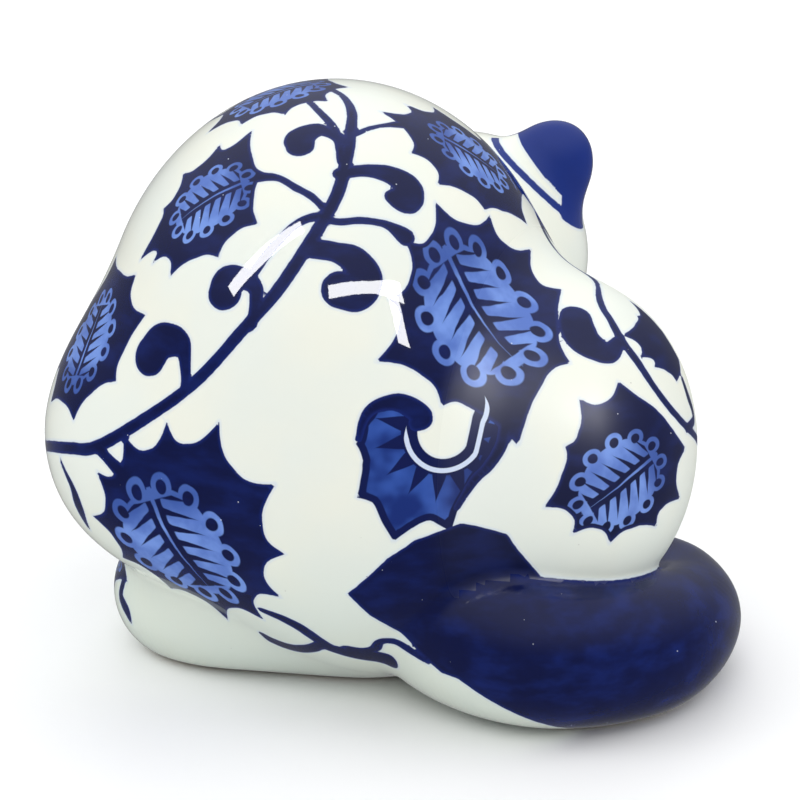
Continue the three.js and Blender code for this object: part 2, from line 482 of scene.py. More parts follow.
class Spot:
    """A place on the surface, with the way a compass bearing points there and the way to its right."""

    def __init__(self, lon, lat, bearing=0):
        self.place = on_surface(heading(lon, lat)[None])[0]
        self.normal = unit(gradient(cat_field, self.place[None]))[0]
        north = unit(UP - self.normal * self.normal[2])
        east = np.cross(north, self.normal)
        turn = math.radians(bearing)
        self.forward = math.cos(turn) * north + math.sin(turn) * east
        self.rightward = np.cross(self.forward, self.normal)

    def flatten(self, points):
        """Points near the spot as millimetres forward and rightward, at their true distance."""
        offset = points - self.place
        flat = np.column_stack((offset @ self.forward, offset @ self.rightward))
        stretch = np.linalg.norm(offset, axis=1) / (np.linalg.norm(flat, axis=1) + 1e-9)
        return flat * stretch[:, None]


# ---------------- painted shapes
# Each gives the distance in millimetres from its edge, negative where there is paint.

NO_PAINT = 9.0

# A stroke's steps to a span, and how far beyond its stations it may reach.
STROKE_STEPS = 6
STROKE_REACH = 6


def near(points, place, reach):
    """The numbers of the points within reach of a place."""
    return np.flatnonzero(np.linalg.norm(points - place, axis=1) < reach)


def outline_distance(flat, corners):
    """Signed distance to a closed outline in the plane, negative inside."""
    nearest = np.full(len(flat), np.inf)
    inside = np.zeros(len(flat), bool)
    for a, b in zip(corners, np.roll(corners, -1, axis=0)):
        edge = b - a
        offset = flat - a
        t = np.clip(offset @ edge / (edge @ edge), 0, 1)
        nearest = np.minimum(nearest, np.linalg.norm(offset - t[:, None] * edge, axis=1))
        crossed = (a[1] > flat[:, 1]) != (b[1] > flat[:, 1])
        inside ^= crossed & (offset[:, 0] < offset[:, 1] * edge[0] / (edge[1] or 1))
    return np.where(inside, -nearest, nearest)


def holly_outline(spines, dip=0.2, sweep=12):
    """The outline of a leaf with thorns, each given as degrees from the leaf's tip and reach."""
    spines = sorted(spines)
    spines.append((spines[0][0] + 360, spines[0][1]))
    corners = []
    for (turn, reach), (next_turn, next_reach) in zip(spines[:-1], spines[1:]):
        for t in np.linspace(0, 1, sweep, endpoint=False):
            angle = math.radians(turn + t * (next_turn - turn))
            hollow = 1 - dip * (1 - abs(2 * t - 1) ** 3)
            size = (reach + t * (next_reach - reach)) * hollow
            corners.append((size * math.cos(angle), size * math.sin(angle)))
    return np.array(corners)


def stroke_distance(points, places, widths):
    """Signed distance to a brush stroke along places on the surface, `widths` wide to each side."""
    stations = np.column_stack((places, widths))
    path = spline(stations, STROKE_STEPS)
    nearest = np.full(len(points), NO_PAINT)
    low = path[:, :3].min(axis=0) - STROKE_REACH
    high = path[:, :3].max(axis=0) + STROKE_REACH
    close = np.flatnonzero(((points > low) & (points < high)).all(axis=1))
    for a, b in zip(path[:-1], path[1:]):
        reach = capsule(points[close], a[:3], b[:3], a[3], b[3])
        nearest[close] = np.minimum(nearest[close], reach)
    return nearest


def brush(points, route):
    """A stroke through (longitude, latitude, half width) stations."""
    places = on_surface(np.array([heading(lon, lat) for lon, lat, _ in route]))
    return stroke_distance(points, places, [width for _, _, width in route])


# ---------------- the painting's layout

# Vines, side stems and the curls that end in a blob: stations of longitude, latitude and half width.
STROKES = (
    # the main vine, from the top of the back down and round to the left side
    ((-80, 82, 0.6), (-40, 83, 0.6), (-11, 79, 0.8), (-4, 73, 0.9), (-2, 67, 1), (-2, 58, 1), (-6, 49, 1),
     (-12, 38, 1), (-18, 30, 0.95), (-27, 19, 0.95), (-38, 9, 0.95), (-48, 1, 1), (-55, -1, 0.95),
     (-63, -3, 0.9), (-76, -7, 0.8), (-92, -10, 0.8), (-108, -6, 0.7)),
    ((-66, 77, 0.5), (-34, 76, 0.6), (-17, 73.5, 0.7), (-7.5, 69.5, 0.8), (-3, 65, 0.9)),
    ((-4, 53, 0.7), (-11, 50.5, 0.7), (-16, 45, 0.7), (-20, 38, 0.9)),
    # stems to the leaves
    ((-5, 54, 0.6), (-10, 56, 0.6), (-16, 57, 0.6), (-23, 58, 0.6), (-30, 57, 1)),
    ((-2, 72, 0.5), (6, 75, 0.5), (18, 77, 0.5), (33, 78, 0.9)),
    ((-5, 52, 0.6), (0, 52, 0.6), (6, 53, 0.6), (14, 53, 0.7), (20, 51, 1.5)),
    ((-48, 1, 1), (-45, -1, 1), (-41, -4, 1.6)),
    # curls off the main vine
    ((-6, 70, 1.1), (-14, 71, 1), (-22, 71, 1.6), (-26, 68, 2.4), (-23, 66, 2.2)),
    ((-3, 62, 1.1), (7, 64, 1.2), (17, 64, 1.8), (24, 62, 2.4), (22, 59, 2.5), (17, 59, 1.3)),
    ((-6, 46, 1.6), (0, 46, 1.6), (5, 45, 2.2), (8, 42, 2.6), (6, 39, 2.9), (2, 39, 2.8)),
    ((-17, 30, 0.8), (-17, 34, 1), (-18, 37, 1.2), (-22, 38, 1.7), (-25, 37, 2.4), (-25, 35, 2.8)),
    ((-31, 16, 0.8), (-31, 18, 0.9), (-32, 22, 1.3), (-34, 24, 2.1), (-39, 23, 2.9), (-41, 20, 3.2)),
    # the right side's vine and its curls
    ((112, 50, 0.6), (98, 42, 0.6), (87, 33, 0.6), (72, 29, 0.6), (68, 25, 0.7), (66, 21, 0.8),
     (66, 17, 0.8), (67, 12, 0.7), (70, 7, 0.7), (76, 2, 0.7), (88, -4, 0.7), (102, -2, 0.7)),
    ((65, 21, 1.1), (61, 20, 1.8), (59, 23, 2.6), (60, 26, 2.8), (62, 28, 2.5)),
    ((74, 3, 0.7), (80, 3, 0.8), (79, 7, 1), (79, 10, 0.7)),
    ((98, 42, 0.8), (104, 47, 1.1), (110, 47, 1.7), (110, 43, 2.1)),
    ((100, -2, 0.8), (106, -9, 1.1), (103, -15, 1.8), (98, -13, 2.4)),
    # scrolls along the left hind foot's joint, and the mark on the foot
    ((-19, -34, 0.6), (-14, -35.5, 0.9), (-9.5, -38, 1.1), (-5.5, -42, 1.1), (-2.8, -44.8, 1.2)),
    ((-24.5, -44.3, 0.6), (-22, -46.5, 1.2), (-16, -48, 1.4), (-9.5, -46.5, 1.3), (-5, -43.5, 1.1)),
    ((-2.8, -44.8, 1.2), (3, -46.5, 1.6), (9, -47.5, 1.9), (14, -47.5, 1.9)),
    ((2, -44, 0.7), (6.5, -45, 1), (10, -44, 1), (11.6, -41, 0.8), (15, -40.3, 0.7), (18, -40.3, 0.7),
     (20.5, -39.3, 0.6), (22.5, -38.5, 0.4)),
    ((-71, -35, 0.8), (-71, -37, 0.9), (-68, -39, 1.1), (-67, -41, 0.2)),
    ((-58, -4, 0.3), (-55, -8, 0.8), (-55, -12, 1.2), (-56, -17, 0.3)),
    # the curled leaf's rolled upper edge, and its edge towards the leaf above
    ((7, 9.5, 0.5), (8, 13.5, 0.7), (10, 16, 0.9), (13, 17, 1.1), (16, 17, 1.4), (19, 15.5, 1.6),
     (21, 13.5, 1.6), (19.5, 12.5, 1.2)),
    ((28, -6.5, 0.5), (31.5, -1, 0.7), (34.5, 2, 0.8), (37, 5.5, 0.9), (38.5, 9, 1), (40, 13, 1.2)),
    # the left side's upper vine and curls
    ((-88, 62, 0.6), (-100, 50, 0.8), (-98, 38, 0.8), (-88, 26, 0.8), (-84, 12, 0.8), (-88, -2, 0.8),
     (-92, -10, 0.8)),
    ((-98, 38, 0.8), (-92, 42, 1.2), (-86, 40, 2), (-86, 36, 2.6)),
    ((-84, 12, 0.8), (-78, 8, 1.2), (-73, 10, 2), (-75, 14, 2.6)),
    ((-90, -6, 0.8), (-98, 0, 1.2), (-103, 6, 2), (-98, 9, 2.5)),
)

# Leaves: longitude, latitude, bearing of the tip, half width of the pale middle (0 for none), where
# that middle lies (forward, rightward), and the spines (degrees from the tip, reach).
LEAVES = (
    (-34, -16, 160, 10.7, (1.6, 1), (
        (172, 18), (-162, 19), (-137, 22), (-104, 21), (-71, 18), (-42, 18), (-17, 19), (11, 20),
        (43, 18), (75, 16), (111, 15.5), (144, 16))),
    (38, 35, 164, 10.5, (-0.3, -1), (
        (-164, 18), (-129, 18), (-100, 20), (-77, 17), (-26, 16), (16, 20.5), (52, 15), (95, 17.5),
        (127, 14), (165, 15))),
    (-41, 49, -137, 6.6, (-0.8, 0.5), (
        (128, 15), (107, 12.5), (72, 11), (36, 10), (2, 15), (-12, 12.5), (-38, 12), (-87, 10),
        (-131, 10.5), (175, 10))),
    (55, 1, -119, 7.6, (0.5, -2.5), (
        (97, 12), (130, 13), (-151, 16), (-122, 17), (-98, 14), (-57, 12), (-25, 12), (5, 12.5),
        (58, 9))),
    (75, 68, 146, 6.8, (0.5, -2), (
        (-166, 16), (154, 12.5), (123, 12), (75, 10), (17, 13.5), (-26, 17), (-60, 14), (-109, 14),
        (-140, 14))),
    (-62, 17, -18, 7.2, (0, 0), (
        (42, 14), (73, 15), (121, 12), (172, 13), (-140, 13), (-95, 13), (-55, 14), (-12, 15))),
    (79, 16, -171, 0, (0, 0), (
        (167, 7), (119, 11), (96, 10), (80, 8), (30, 6), (-60, 5), (-120, 5), (-164, 10))),
)

# More leaves of one plain outline, round the top, the left side and the front.
PLAIN_SPINES = ((0, 1.9), (35, 1.6), (75, 1.55), (115, 1.6), (155, 1.65), (-155, 1.65), (-115, 1.6),
                (-75, 1.55), (-35, 1.6))
PLAIN_LEAVES = ((-86, 73, 165, 6.8), (-122, 46, -70, 7.5), (-112, 14, -60, 7.5), (-118, -20, 140, 6.5),
                (-82, -30, 120, 5.5), (108, 22, 60, 7), (112, -24, -150, 6.5), (128, 56, 70, 7))

# The middle leaf's upper end is curled over: a washed leaf round a white loop.
CURLED_LEAF = (21, 1, -15)
CURLED_SPINES = ((47, 8), (21, 9.5), (10, 11.5), (-3, 12.5), (-18, 13.5), (-30, 13), (-46, 11.5),
                 (-60, 9.5), (-90, 10.5), (-102, 8.5), (-140, 11), (-153, 8), (-172, 7), (171, 10),
                 (152, 7.5), (120, 7.5), (100, 9.5), (88, 11.5), (79, 13.5), (70, 16), (57, 13.5))
CURLED_DIP = 0.05
CURLED_LOOP = ((5.3, 4.8, 4.1), (7.9, 8.3, 2.4))

# The tail's blue: its wedge on the rump, how far it runs past the tail, and its sloping lower edge, with
# the height at x = 0.
WEDGE_SPOT = (25, -22)
TAIL_WEDGE = ((4, -26), (13, -17), (19, -13), (26, -11), (29, -10), (38, -12), (40, -15), (45, -21),
              (49, -24), (44, -34), (25, -38), (9, -32))
TAIL_MARGIN = 0.6
TAIL_PAINT_SLOPE = 0.56
TAIL_PAINT_HEIGHT = 19.5
# The glaze is wiped off below this height.
FOOT_RING = 0.7

# How far from its spot each shape may reach, and a leaf's pale middle, in half widths.
LEAF_NEAR = 32
CURLED_NEAR = 24
WEDGE_NEAR = 40
MIDDLE_LIMIT = 1.3


def leaf_paint(points, ink, pattern):
    """Adds the leaves to `ink`, and their own directions, in half widths, to `pattern`."""
    closest = np.full(len(points), np.inf)
    plain = [(lon, lat, bearing, width, (0, 0), [(a, r * width) for a, r in PLAIN_SPINES])
             for lon, lat, bearing, width in PLAIN_LEAVES]
    for lon, lat, bearing, width, middle, spines in (*LEAVES, *plain):
        spot = Spot(lon, lat, bearing)
        there = near(points, spot.place, LEAF_NEAR)
        flat = spot.flatten(points[there])
        ink[there] = np.minimum(ink[there], outline_distance(flat, holly_outline(spines)))
        if width:
            along, across = ((flat - middle) / width).T
            size = np.hypot(along / LEAF_RATIO, across)
            nearer = size < closest[there]
            chosen = there[nearer]
            closest[chosen] = size[nearer]
            pattern[chosen] = np.column_stack((along, across, size < MIDDLE_LIMIT))[nearer]


def curled_paint(points, wash, curl):
    """Adds the curled leaf's wash, and for its veins the distance from its loop and the place round it."""
    spot = Spot(*CURLED_LEAF)
    there = near(points, spot.place, CURLED_NEAR)
    flat = spot.flatten(points[there])
    ends = [np.array(end[:2]) for end in CURLED_LOOP]
    radii = [end[2] for end in CURLED_LOOP]
    loop = capsule(flat, *ends, *radii)
    outline = holly_outline(CURLED_SPINES, CURLED_DIP)
    leaf = outline_distance(flat, outline)
    wash[there] = np.maximum(leaf, -loop)
    curl[there] = np.column_stack((loop, flat - ends[0]))


def tail_paint(points, ink):
    """Adds the tail's solid blue, with the wedge that runs up from it onto the rump."""
    x, z = points[:, 0], points[:, 2]
    lower = (TAIL_PAINT_HEIGHT + TAIL_PAINT_SLOPE * x - z) / math.hypot(1, TAIL_PAINT_SLOPE)
    tail = np.maximum(tube(points, TAIL) - TAIL_MARGIN, np.maximum(lower, FOOT_RING - z))
    spot = Spot(*WEDGE_SPOT)
    there = near(points, spot.place, WEDGE_NEAR)
    corners = on_surface(np.array([heading(lon, lat) for lon, lat in TAIL_WEDGE]))
    wedge = outline_distance(spot.flatten(points[there]), spot.flatten(corners))
    tail[there] = np.minimum(tail[there], np.maximum(wedge, FOOT_RING - z[there]))
    ink[:] = np.minimum(ink, tail)


# How far the blue runs past the ears, and the line behind each: how far out, and its half width.
EAR_MARGIN = 0.8
EAR_LINE = (2.4, 0.5)
# Behind, the half of each ear nearer the middle is left white: the edge is this far out, at this height,
# and goes outward as it goes down, as far as EAR_OUTER. Beyond that the blue runs on below the ear.
EAR_EDGE = (9.1, 76, 0.9)
EAR_OUTER = 18
EAR_SKIRT = 2.6
# Discs on the face, as seen from the front: x, z and half-sizes. The eye is an outline.
EYE = (8.6, 56.3, 3.7, 2.3)
EYE_LINE = 0.4
PUPIL = (8.3, 56.3, 1.2, 1.7)
NOSE_LEATHER = (0, 50, 2.3, 1.3)
# The face is all in front of this y.
FACE_DEPTH = -56
# Strokes on the face: x and z from the front, with the half width.
FACE_STROKES = (
    ((0, 49, 0.3), (0, 46.6, 0.35), (1.6, 45.2, 0.4), (4.4, 45, 0.2)),
    ((6.5, 47.5, 0.25), (11, 48.2, 0.3), (15, 50, 0.15)),
    ((6.5, 46, 0.25), (11, 45.8, 0.3), (15.5, 46.6, 0.15)),
    ((6.3, 44.6, 0.25), (10.5, 43.4, 0.3), (14.5, 43, 0.15)),
    ((4.6, 60.6, 0.25), (8.6, 62, 0.5), (12.4, 60.6, 0.2)),
    ((0, 59, 0.3), (2.6, 63.5, 0.9), (2, 67, 0.9), (0, 66, 0.4)),
)


def disc(x, z, part, side):
    """Distance from an upright ellipse's edge, as seen from the front."""
    cx, cz, rx, rz = part
    size = np.hypot((x - side * cx) / rx, (z - cz) / rz)
    return (size - 1) * min(rx, rz)


def on_face(places):
    """Where lines from the front meet the face, from their x and z."""
    starts = np.array([(x, -OUTSIDE, z) for x, z in places])
    return cast(starts, np.tile((0.0, 1.0, 0.0), (len(starts), 1)))


def head_paint(points, ink):
    """Adds the blue ears with a line round each, and the face."""
    x, z = points[:, 0] - HEAD_X, points[:, 2]
    front = points[:, 1] < FACE_DEPTH
    behind = points[:, 1] > EAR[0][1]
    offset, width = EAR_LINE
    edge, edge_height, edge_slope = EAR_EDGE
    for side in (1, -1):
        ear = ear_field(points, side)
        out = side * x
        border = np.minimum(edge + (edge_height - z) * edge_slope, EAR_OUTER)
        inner = (border - out) / math.hypot(1, edge_slope)
        skirt = EAR_SKIRT * np.clip(out - EAR_OUTER + 1, 0, 1)
        drawn = np.where(behind, np.maximum(ear - EAR_MARGIN - skirt, inner), ear - EAR_MARGIN)
        drawn = np.minimum(drawn, np.where(behind, np.abs(ear - offset) - width, NO_PAINT))
        eye = disc(x, z, EYE, side)
        face = np.minimum(np.abs(eye) - EYE_LINE, disc(x, z, PUPIL, side))
        face = np.minimum(face, disc(x, z, NOSE_LEATHER, side))
        drawn = np.minimum(drawn, np.where(front, face, NO_PAINT))
        for route in FACE_STROKES:
            places = on_face([(HEAD_X + side * a, c) for a, c, _ in route])
            drawn = np.minimum(drawn, stroke_distance(points, places, [w for _, _, w in route]))
        ink[:] = np.minimum(ink, drawn)


def painting(points):
    """The paint at each vertex: edge distances of ink and wash, and places in the leaves' patterns."""
    ink = np.full(len(points), NO_PAINT)
    wash = np.full(len(points), NO_PAINT)
    pattern = np.zeros((len(points), 3))
    curl = np.full((len(points), 3), NO_PAINT)
    leaf_paint(points, ink, pattern)
    for route in STROKES:
        ink = np.minimum(ink, brush(points, route))
    curled_paint(points, wash, curl)
    tail_paint(points, ink)
    head_paint(points, ink)
    return {"ink": ink, "wash": wash, "pattern": pattern, "curl": curl}


# ---------------- materials

# A leaf's pale middle, in half widths: a ring of lobes, each with a dark dot, and the body inside. Within
# VEINED of its middle, dark veins slant off a dark band that lies RIB_GAP to each side of the pale midrib.
LEAF_RATIO = 1.25
LOBES = 12
LOBE_REACH = 0.81
LOBE_SIZE = 0.18
DOT_SIZE = 0.095
BODY_REACH = 0.8
VEIN_GAP = 0.27
VEIN_SIZE = 0.065
VEIN_SLANT = 0.5
VEINED = 0.82
RIB_GAP = 0.13
RIB_REACH = 1.02
MIDRIB = 0.035

# The curled leaf: its veins, its dark edge's width, and how far outside the loop are the end of its dark
# rim and its white line.
CURLED_VEINS = 15
CURLED_EDGE = 1.1
CURLED_RIM = 2.5
CURLED_LINE = 1.75

# The colours, in linear light.
WARM_WHITE = (0.86, 0.87, 0.765)
COOL_WHITE = (0.82, 0.855, 0.785)
# Painted shade: the white is mixed towards this darker, greener colour low down.
SHADED_LOW_WHITE = (0.66, 0.76, 0.68)
SPECK = (0.35, 0.33, 0.3)
INK = (0.0012, 0.0045, 0.048)
INK_EDGE = (0.007, 0.019, 0.16)
THIN_INK = (0.004, 0.014, 0.12)
EAR_BLUE = (0.012, 0.032, 0.21)
PALE_BLUE = (0.095, 0.18, 0.54)
PALEST_BLUE = (0.18, 0.31, 0.74)
LEAF_FOOT = (0.03, 0.075, 0.32)
DEEP_WASH = (0.008, 0.026, 0.17)
THIN_WASH = (0.035, 0.095, 0.4)
WASH_VEIN = (0.003, 0.008, 0.07)
HALO = (0.42, 0.55, 0.86)
LOOP_LINE = (0.62, 0.7, 0.86)
PINHOLE = (0.75, 0.8, 0.9)
BARE_CLAY = (0.72, 0.66, 0.56)

# The glaze's roughness, and how far from the right haunch it is clear again and fully hazy.
CLEAR = 0.025
BLUE_HAZE = 0.1
HAUNCH_HAZE = 0.4
HAUNCH_FADE = (12, 7)
GLAZE_IOR = 1.38


class Wire:
    """A number in a shader: arithmetic on it adds Math nodes."""

    def __init__(self, tree, socket):
        self.tree = tree
        self.socket = socket

    def math(self, operation, *others):
        node = self.tree.nodes.new("ShaderNodeMath")
        node.operation = operation
        for slot, value in zip(node.inputs, (self, *others)):
            if isinstance(value, Wire):
                self.tree.links.new(value.socket, slot)
            else:
                slot.default_value = value
        return Wire(self.tree, node.outputs[0])

    def __add__(self, other):
        return self.math("ADD", other)

    def __sub__(self, other):
        return self.math("SUBTRACT", other)

    def __mul__(self, other):
        return self.math("MULTIPLY", other)

    def __truediv__(self, other):
        return self.math("DIVIDE", other)

    def flipped(self):
        return self * -1

    def size(self):
        return self.math("ABSOLUTE")

    def lower(self, other):
        return self.math("MINIMUM", other)

    def higher(self, other):
        return self.math("MAXIMUM", other)

    def hypot(self, other):
        return (self * self + other * other).math("SQRT")

    def ramp(self, start, end, low=0.0, high=1.0):
        """A smooth step from `low` at `start` to `high` at `end`."""
        node = self.tree.nodes.new("ShaderNodeMapRange")
        node.interpolation_type = "SMOOTHSTEP"
        self.tree.links.new(self.socket, node.inputs["Value"])
        for name, value in (("From Min", start), ("From Max", end), ("To Min", low), ("To Max", high)):
            node.inputs[name].default_value = value
        return Wire(self.tree, node.outputs["Result"])


class Shader:
    """A material's node tree, with the few kinds of node that the glaze needs."""

    def __init__(self, name):
        self.material = bpy.data.materials.new(name)
        self.material.use_nodes = True
        self.tree = self.material.node_tree
        self.principled = self.tree.nodes["Principled BSDF"]
        self.place = self.tree.nodes.new("ShaderNodeTexCoord").outputs["Object"]

    def number(self, name):
        """A number stored on the surface."""
        node = self.tree.nodes.new("ShaderNodeAttribute")
        node.attribute_name = name
        return Wire(self.tree, node.outputs["Fac"])

    def numbers(self, name):
        """Three numbers stored on the surface."""
        node = self.tree.nodes.new("ShaderNodeAttribute")
        node.attribute_name = name
        parts = self.tree.nodes.new("ShaderNodeSeparateXYZ")
        self.tree.links.new(node.outputs["Vector"], parts.inputs[0])
        return [Wire(self.tree, socket) for socket in parts.outputs]

    def noise(self, size, detail=2.0, seed=0.0, stretch=(1, 1, 1)):
        """Noise from 0 to 1 with features about `size` millimetres across."""
        mapping = self.tree.nodes.new("ShaderNodeMapping")
        mapping.inputs["Location"].default_value = (seed, seed, seed)
        mapping.inputs["Scale"].default_value = stretch
        self.tree.links.new(self.place, mapping.inputs["Vector"])
        node = self.tree.nodes.new("ShaderNodeTexNoise")
        node.inputs["Scale"].default_value = 1 / (size * MM)
        node.inputs["Detail"].default_value = detail
        self.tree.links.new(mapping.outputs[0], node.inputs["Vector"])
        return Wire(self.tree, node.outputs["Fac"])

    def specks(self, gap, radius):
        """1 inside scattered round specks, which lie about `gap` millimetres apart."""
        node = self.tree.nodes.new("ShaderNodeTexVoronoi")
        node.inputs["Scale"].default_value = 1 / (gap * MM)
        self.tree.links.new(self.place, node.inputs["Vector"])
        parts = self.tree.nodes.new("ShaderNodeSeparateColor")
        self.tree.links.new(node.outputs["Color"], parts.inputs[0])
        chance = Wire(self.tree, parts.outputs[0])
        size = chance * (radius / gap)
        return (Wire(self.tree, node.outputs["Distance"]) - size).ramp(0.01, -0.01)

    def colour(self, colour):
        """The socket that gives a colour, which may already be a socket."""
        if not isinstance(colour, tuple):
            return colour
        node = self.tree.nodes.new("ShaderNodeRGB")
        node.outputs[0].default_value = (*colour, 1)
        return node.outputs[0]

    def mix(self, factor, first, second):
        ends = self.colour(first), self.colour(second)
        node = self.tree.nodes.new("ShaderNodeMix")
        node.data_type = "RGBA"
        self.tree.links.new(factor.socket, node.inputs["Factor"])
        for end, slot in zip(ends, ("A", "B")):
            self.tree.links.new(end, node.inputs[slot])
        return node.outputs["Result"]

    def set(self, **values):
        """Sets the surface's own numbers, or links them."""
        for name, value in values.items():
            slot = self.principled.inputs[name.replace("_", " ")]
            if isinstance(value, Wire):
                self.tree.links.new(value.socket, slot)
            else:
                slot.default_value = value

    def bump(self, height, strength):
        node = self.tree.nodes.new("ShaderNodeBump")
        node.inputs["Strength"].default_value = strength
        node.inputs["Distance"].default_value = MM
        self.tree.links.new(height.socket, node.inputs["Height"])
        for name in ("Normal", "Coat Normal"):
            self.tree.links.new(node.outputs[0], self.principled.inputs[name])


def leaf_middle(shader, ink):
    """1 on the pale parts of a leaf: lobes with a dot in each, a comb of fingers, and the midrib."""
    along, across, inside = shader.numbers("pattern")
    along = along + (shader.noise(4, seed=1) - 0.5) * 0.06
    across = across + (shader.noise(4, seed=2) - 0.5) * 0.06 + along * along * 0.06 - 0.03

    reach = (along / LEAF_RATIO).hypot(across)
    turn = across.math("ARCTAN2", along / LEAF_RATIO)
    lobe = (turn * (LOBES / math.tau)).math("FRACT") - 0.5
    sideways = lobe * (math.tau / LOBES * LOBE_REACH * (1 + LEAF_RATIO) / 2)
    from_lobe = (reach - LOBE_REACH).hypot(sideways)
    edge = (reach - BODY_REACH).lower(from_lobe - LOBE_SIZE)

    off_rib = across.size()
    comb = (along - off_rib * VEIN_SLANT) / VEIN_GAP
    vein = (comb.math("FRACT") - 0.5).size() * VEIN_GAP - off_rib.ramp(0, 1, VEIN_SIZE, -0.04)
    dark = (off_rib - RIB_GAP).math("SMOOTH_MIN", vein, 0.05).higher(along.size() - VEINED)
    pale = edge.higher(dark.flipped()).higher((from_lobe - DOT_SIZE).flipped())
    rib = off_rib + along.ramp(-1, 1, 0, MIDRIB) - MIDRIB
    pale = pale.lower(rib.higher(along.size() - RIB_REACH))
    return pale.ramp(0.012, -0.012) * inside.ramp(0.85, 0.95) * ink.ramp(-0.6, -0.8), along


def curled_leaf(shader, wash):
    """On the curled leaf: 1 on its dark edge, rim and veins, and 1 on the white line round its loop."""
    loop, along, across = shader.numbers("curl")
    turn = across.math("ARCTAN2", along)
    comb = (turn * (CURLED_VEINS / math.tau)).math("FRACT") - 0.5
    from_middle = along.hypot(across)
    vein = comb.size() * from_middle * (math.tau / CURLED_VEINS) - from_middle.ramp(5, 12, 1.3, -0.15)
    drawn = vein.lower(wash.flipped() - CURLED_EDGE).lower(loop - CURLED_RIM)
    line = (loop - CURLED_LINE).size() - along.ramp(3.6, 0.5, -0.12, 0.36)
    return drawn.ramp(0.1, -0.1) * wash.ramp(0.08, -0.08), line.ramp(0.06, -0.06)


def glaze(name, brushed, haze):
    """White porcelain painted with cobalt, which is paler on the ears, under a clear glaze. `brushed` is
    how uneven the blue is, and `haze` the glaze's roughness."""
    shader = Shader(name)
    ink = shader.number("ink") + (shader.noise(1.6, seed=3) - 0.5) * 0.2
    wash = shader.number("wash")
    bare = shader.number("bare").ramp(0.35, 0.65)
    height = shader.number("height")

    # the white, with faint clouds, painted shade that makes it darker and greener low down, and its specks
    clouds = shader.noise(16, seed=5).ramp(0.3, 0.7)
    white = shader.mix(clouds, WARM_WHITE, COOL_WHITE)
    white = shader.mix(height.ramp(45, 4, 0, 0.55), white, SHADED_LOW_WHITE)
    white = shader.mix(shader.specks(7, 0.16), white, SPECK)

    # the blue, which is thinner along its edge, in streaks and on the ears
    dark = shader.mix(ink.ramp(-0.7, 0.05, 0, 0.8), INK, INK_EDGE)
    strokes = shader.noise(7, detail=3, seed=7, stretch=(1, 1, 2.2)).ramp(0.4, 0.75, 0, brushed)
    dark = shader.mix(strokes, dark, THIN_INK)
    dark = shader.mix(shader.number("ear").ramp(5, 3.5, 0, 0.9), dark, EAR_BLUE)
    pale, along = leaf_middle(shader, ink)
    light = shader.noise(5, detail=3, seed=9).ramp(0.35, 0.68)
    light = shader.mix(light, PALE_BLUE, PALEST_BLUE)
    light = shader.mix(along.ramp(-0.35, -0.8, 0, 0.8), light, LEAF_FOOT)
    blue = shader.mix(pale, dark, light)

    # the curled leaf's wash, and the layers from the lowest up
    washed = shader.noise(6, detail=2, seed=11).ramp(0.35, 0.65)
    washed = shader.mix(washed, DEEP_WASH, THIN_WASH)
    veins, line = curled_leaf(shader, wash)
    washed = shader.mix(veins, washed, WASH_VEIN)
    halo = shader.mix(ink.lower(wash).ramp(0.6, 0, 0, 0.3), white, HALO)
    paint = shader.mix(wash.ramp(0.08, -0.08), halo, washed)
    paint = shader.mix(ink.ramp(0.07, -0.07), paint, blue)
    paint = shader.mix(line, paint, LOOP_LINE)
    pinholes = shader.specks(2.6, 0.13) * ink.ramp(0, -0.3, 0, 0.75)
    paint = shader.mix(pinholes, paint, PINHOLE)
    paint = shader.mix(bare, paint, BARE_CLAY)
    shader.tree.links.new(paint, shader.principled.inputs["Base Color"])

    glazed = bare.flipped() + 1
    shader.set(Coat_Weight=glazed, Coat_Roughness=haze, Coat_IOR=GLAZE_IOR)
    shader.set(Roughness=0.6, Specular_IOR_Level=0.0)
    ripple = shader.noise(9, detail=1, seed=13) * 0.12 + shader.noise(1.2, detail=2, seed=15) * 0.004
    ripple = ripple - shader.specks(5, 0.2) * 0.02 + bare * shader.noise(0.5, detail=3, seed=17) * 0.05
    shader.bump(ripple, 0.5)
    return shader


# ---------------- the pieces

def to_row(points):
    """Cat millimetres to the frame's metres: the rump's high side and the hump's side are lined up."""
    return (points - CAT_CORNER) * MM + ROW_CORNER


def place_in_scene(name, data):
    """A new object with a mesh, a light or a camera."""
    thing = bpy.data.objects.new(name, data)
    bpy.context.scene.collection.objects.link(thing)
    return thing


def faces_mesh(name, points, groups):
    """A mesh from groups of faces, each group an array with one face to a row."""
    mesh = bpy.data.meshes.new(name)
    loops = np.concatenate([group.ravel() for group in groups])
    sizes = np.concatenate([np.full(len(group), group.shape[1]) for group in groups])
    mesh.vertices.add(len(points))
    mesh.vertices.foreach_set("co", points.ravel())
    mesh.loops.add(len(loops))
    mesh.loops.foreach_set("vertex_index", loops)
    mesh.polygons.add(len(sizes))
    mesh.polygons.foreach_set("loop_start", np.concatenate(([0], np.cumsum(sizes)[:-1])))
    mesh.update(calc_edges=True)
    mesh.validate()
    return mesh


